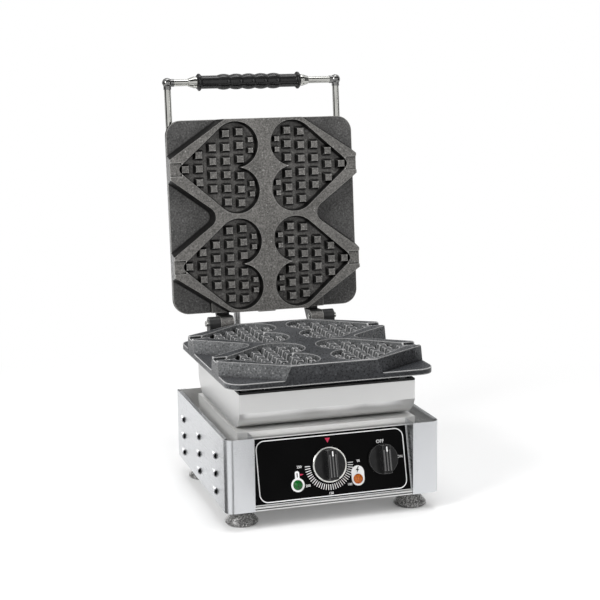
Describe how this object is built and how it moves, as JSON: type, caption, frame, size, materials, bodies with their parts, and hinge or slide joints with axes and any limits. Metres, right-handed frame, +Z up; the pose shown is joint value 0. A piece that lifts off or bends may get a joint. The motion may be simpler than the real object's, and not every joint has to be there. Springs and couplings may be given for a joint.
{
  "type": "waffle iron",
  "caption": "Counter-top waffle iron with hinged cast plates, heart-shaped moulds, a handled lid, a steel base with control panel, dial, switch and flared feet.",
  "frame": {"origin": "on the counter, under the middle of the open machine's bounding box", "axes": "+Z up, +X to the right seen from the front, +Y to the back; the control panel faces -Y"},
  "size_m": [0.308, 0.4071, 0.5862],
  "materials": {
    "sheet_steel": "brushed",
    "cast_plate": "matt cast",
    "panel_black": "satin film",
    "knob_black": "satin",
    "grip_black": "satin",
    "foot_black": "matt",
    "gasket_black": "matt",
    "insulation": "fibrous",
    "lens_green": "clear tinted",
    "lens_orange": "clear tinted",
    "moulded_case": "matt",
    "heater_tube": "heat-tinted",
    "gland_black": "satin",
    "bright_steel": "polished"
  },
  "bodies": {
    "base": {"base_pan": "sheet_steel", "bracket_screws": "bright_steel", "conduit": "bright_steel", "conduit_gland_lower": "bright_steel", "control_fascia": "sheet_steel", "deck_tray": "sheet_steel", "foot_front_left": "foot_black", "foot_front_right": "foot_black", "foot_rear_left": "foot_black", "foot_rear_right": "foot_black", "foot_screws": "bright_steel", "green_lamp_body": "moulded_case", "green_lamp_lens": "lens_green", "hinge_bracket_left": "cast_plate", "hinge_bracket_right": "cast_plate", "hinge_pin_left": "bright_steel", "hinge_pin_right": "bright_steel", "left_side_panel": "sheet_steel", "lower_clamp_screws": "bright_steel", "lower_heater": "heater_tube", "lower_heater_clamp": "bright_steel", "lower_insulation": "insulation", "lower_plate": "cast_plate", "mains_gland": "gland_black", "neck_box": "sheet_steel", "orange_lamp_body": "moulded_case", "orange_lamp_lens": "lens_orange", "panel_overlay": "panel_black", "plate_housing": "sheet_steel", "rear_panel": "sheet_steel", "right_side_panel": "sheet_steel", "rim_gasket": "gasket_black", "switch_body": "moulded_case", "terminal_block": "moulded_case", "thermal_gasket": "gasket_black", "thermostat_body": "moulded_case", "thermostat_bulb": "heater_tube"},
    "lid": {"upper_plate": "cast_plate", "upper_heater": "heater_tube", "upper_heater_clamp": "bright_steel", "upper_clamp_screws": "bright_steel", "upper_insulation": "insulation", "lid_cover": "sheet_steel", "cover_screws": "bright_steel", "handle_leg_left": "bright_steel", "handle_leg_right": "bright_steel", "handle_elbow_left": "bright_steel", "handle_elbow_right": "bright_steel", "handle_bar": "bright_steel", "ferrule_left": "bright_steel", "ferrule_right": "bright_steel", "handle_grip": "grip_black", "leg_saddles": "bright_steel", "conduit_gland_upper": "bright_steel"},
    "thermostat_dial": {"thermostat_knob": "knob_black", "thermostat_knob_ring": "bright_steel", "thermostat_shaft": "bright_steel"},
    "switch_dial": {"switch_knob": "knob_black", "switch_shaft": "bright_steel"}
  },
  "joints": [
    {"name": "lid_hinge", "type": "hinge", "parent": "base", "child": "lid", "pos_m": [0, 0.1077, 0.21995], "axis": [1, 0, 0], "range_deg": [0, 95], "deforming": ["conduit"]},
    {"name": "thermostat_turn", "type": "hinge", "parent": "base", "child": "thermostat_dial", "pos_m": [-0.004, -0.17751, 0.0755], "axis": [0, 0.9659, -0.2588], "range_deg": [0, 270]},
    {"name": "switch_turn", "type": "hinge", "parent": "base", "child": "switch_dial", "pos_m": [0.0725, -0.17751, 0.0755], "axis": [0, 0.9659, -0.2588], "range_deg": [0, 90]}
  ]
}
